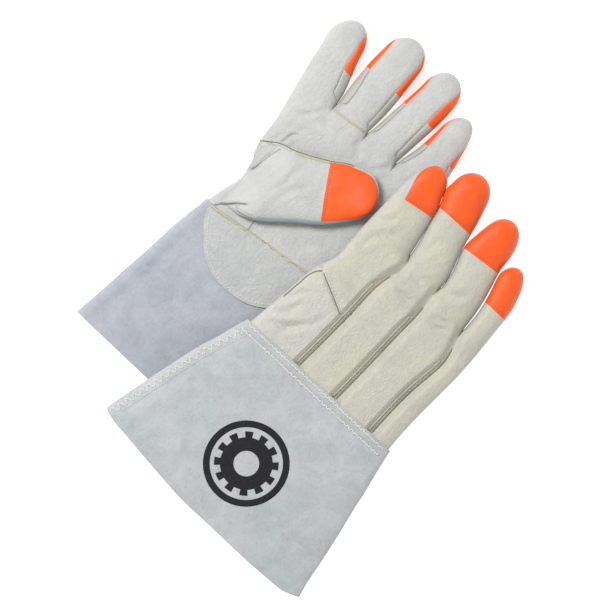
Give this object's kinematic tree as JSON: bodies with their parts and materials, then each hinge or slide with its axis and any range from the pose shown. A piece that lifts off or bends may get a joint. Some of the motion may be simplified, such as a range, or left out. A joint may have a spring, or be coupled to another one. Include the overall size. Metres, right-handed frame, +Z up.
{
  "type": "pair of welding gloves",
  "caption": "Long-cuffed leather welding gloves with orange fingertips, one palm up under the other, with bending fingers and thumbs.",
  "frame": {"origin": "middle of the pair's bounding box, on the surface it lies on", "axes": "+Y from the gauntlets to the fingertips, +X across the hands towards the little fingers, +Z up"},
  "size_m": [0.2709, 0.3622, 0.0555],
  "materials": {
    "palm_leather": "soft matt grain, pale grey-cream",
    "back_leather": "soft matt grain, warm cream",
    "orange_leather": "matt high-visibility orange grain",
    "left_suede": "split-leather nap, bluish grey",
    "right_suede": "split-leather nap, neutral grey",
    "thread": "twisted sewing thread",
    "welt": "yellowish welt strip in the seams",
    "print_ink": "flat black ink"
  },
  "bodies": {
    "left_hand": {"left_gauntlet_back": "left_suede", "left_gauntlet_palm": "left_suede", "left_heel_patch": "palm_leather", "left_index_strip": "back_leather", "left_little_strip": "back_leather", "left_middle_strip": "back_leather", "left_palm": "palm_leather", "left_ring_strip": "back_leather", "left_yoke": "back_leather", "left_little_back": "back_leather", "left_little_side_walls": "palm_leather", "left_little_front": "palm_leather"},
    "left_index_base": {"left_index_back": "back_leather", "left_index_side_walls": "palm_leather", "left_index_front": "palm_leather"},
    "left_index_end": {"left_index_cap": "orange_leather", "left_index_tip_front": "palm_leather"},
    "left_middle_base": {"left_middle_back": "back_leather", "left_middle_side_walls": "palm_leather", "left_middle_front": "palm_leather"},
    "left_middle_end": {"left_middle_cap": "orange_leather", "left_middle_tip_front": "palm_leather"},
    "left_ring_base": {"left_ring_back": "back_leather", "left_ring_side_walls": "palm_leather", "left_ring_front": "palm_leather"},
    "left_ring_end": {"left_ring_cap": "orange_leather", "left_ring_tip_front": "palm_leather"},
    "left_little_end": {"left_little_cap": "orange_leather", "left_little_tip_front": "palm_leather"},
    "left_thumb": {"left_thumb_front": "palm_leather", "left_thumb_back": "back_leather", "left_thumb_cap": "orange_leather"},
    "right_gauntlet": {"right_gauntlet_palm": "right_suede", "right_gauntlet_back": "right_suede", "right_heel_patch": "palm_leather"},
    "right_hand": {"right_palm": "palm_leather", "right_yoke": "back_leather", "right_index_strip": "back_leather", "right_middle_strip": "back_leather", "right_ring_strip": "back_leather", "right_little_strip": "back_leather"},
    "right_index_finger": {"right_index_back": "back_leather", "right_index_side_walls": "palm_leather", "right_index_cap": "orange_leather", "right_index_front": "palm_leather"},
    "right_middle_finger": {"right_middle_back": "back_leather", "right_middle_side_walls": "palm_leather", "right_middle_cap": "orange_leather", "right_middle_front": "palm_leather"},
    "right_ring_finger": {"right_ring_back": "back_leather", "right_ring_side_walls": "palm_leather", "right_ring_cap": "orange_leather", "right_ring_front": "palm_leather"},
    "right_little_finger": {"right_little_back": "back_leather", "right_little_side_walls": "palm_leather", "right_little_cap": "orange_leather", "right_little_front": "palm_leather"},
    "right_thumb": {"right_thumb_front": "palm_leather", "right_thumb_back": "back_leather", "right_thumb_cap": "orange_leather"}
  },
  "joints": [
    {"name": "left_index_bend", "type": "hinge", "parent": "left_hand", "child": "left_index_base", "pos_m": [-0.112, 0.1002, 0.0205], "axis": [1, 0, 0], "range_deg": [0, 80]},
    {"name": "left_index_curl", "type": "hinge", "parent": "left_index_base", "child": "left_index_end", "pos_m": [-0.112, 0.1277, 0.0205], "axis": [1, 0, 0], "range_deg": [0, 80]},
    {"name": "left_middle_bend", "type": "hinge", "parent": "left_hand", "child": "left_middle_base", "pos_m": [-0.0802, 0.1027, 0.0205], "axis": [1, 0, 0], "range_deg": [0, 80]},
    {"name": "left_middle_curl", "type": "hinge", "parent": "left_middle_base", "child": "left_middle_end", "pos_m": [-0.0802, 0.1412, 0.0205], "axis": [1, 0, 0], "range_deg": [0, 80]},
    {"name": "left_ring_bend", "type": "hinge", "parent": "left_hand", "child": "left_ring_base", "pos_m": [-0.0474, 0.1037, 0.0205], "axis": [1, 0, 0], "range_deg": [0, 80]},
    {"name": "left_ring_curl", "type": "hinge", "parent": "left_ring_base", "child": "left_ring_end", "pos_m": [-0.0474, 0.1407, 0.0205], "axis": [1, 0, 0], "range_deg": [0, 80]},
    {"name": "left_little_curl", "type": "hinge", "parent": "left_hand", "child": "left_little_end", "pos_m": [-0.0134, 0.1287, 0.0205], "axis": [1, 0, 0], "range_deg": [0, 80]},
    {"name": "left_thumb_open", "type": "hinge", "parent": "left_hand", "child": "left_thumb", "pos_m": [-0.103, 0.0211, 0.0228], "axis": [0.5821, -0.8131, 0], "range_deg": [0, 75]},
    {"name": "right_glove_lift", "type": "slide", "parent": "left_hand", "child": "right_gauntlet", "axis": [0, 0, 1], "range_m": [0, 0.2]},
    {"name": "right_wrist_raise", "type": "hinge", "parent": "right_gauntlet", "child": "right_hand", "pos_m": [0.03968, -0.0543, 0.04157], "axis": [0.9903, 0, -0.1392], "range_deg": [0, 40]},
    {"name": "right_index_raise", "type": "hinge", "parent": "right_hand", "child": "right_index_finger", "pos_m": [0.00312, 0.0615, 0.0452], "axis": [0.9903, 0, -0.1392], "range_deg": [0, 35]},
    {"name": "right_middle_raise", "type": "hinge", "parent": "right_hand", "child": "right_middle_finger", "pos_m": [0.03957, 0.0615, 0.04007], "axis": [0.9903, 0, -0.1392], "range_deg": [0, 35]},
    {"name": "right_ring_raise", "type": "hinge", "parent": "right_hand", "child": "right_ring_finger", "pos_m": [0.07225, 0.0535, 0.03548], "axis": [0.9903, 0, -0.1392], "range_deg": [0, 35]},
    {"name": "right_little_raise", "type": "hinge", "parent": "right_hand", "child": "right_little_finger", "pos_m": [0.09948, 0.0475, 0.03166], "axis": [0.9903, 0, -0.1392], "range_deg": [0, 35]},
    {"name": "right_thumb_open", "type": "hinge", "parent": "right_hand", "child": "right_thumb", "pos_m": [0.03106, -0.0071, 0.01976], "axis": [-0.9806, 0.1392, 0.1378], "range_deg": [0, 42]}
  ],
  "couplings": [
    {"joint": "right_thumb_open", "follows": "right_glove_lift", "rad_per_m": 3.5}
  ]
}
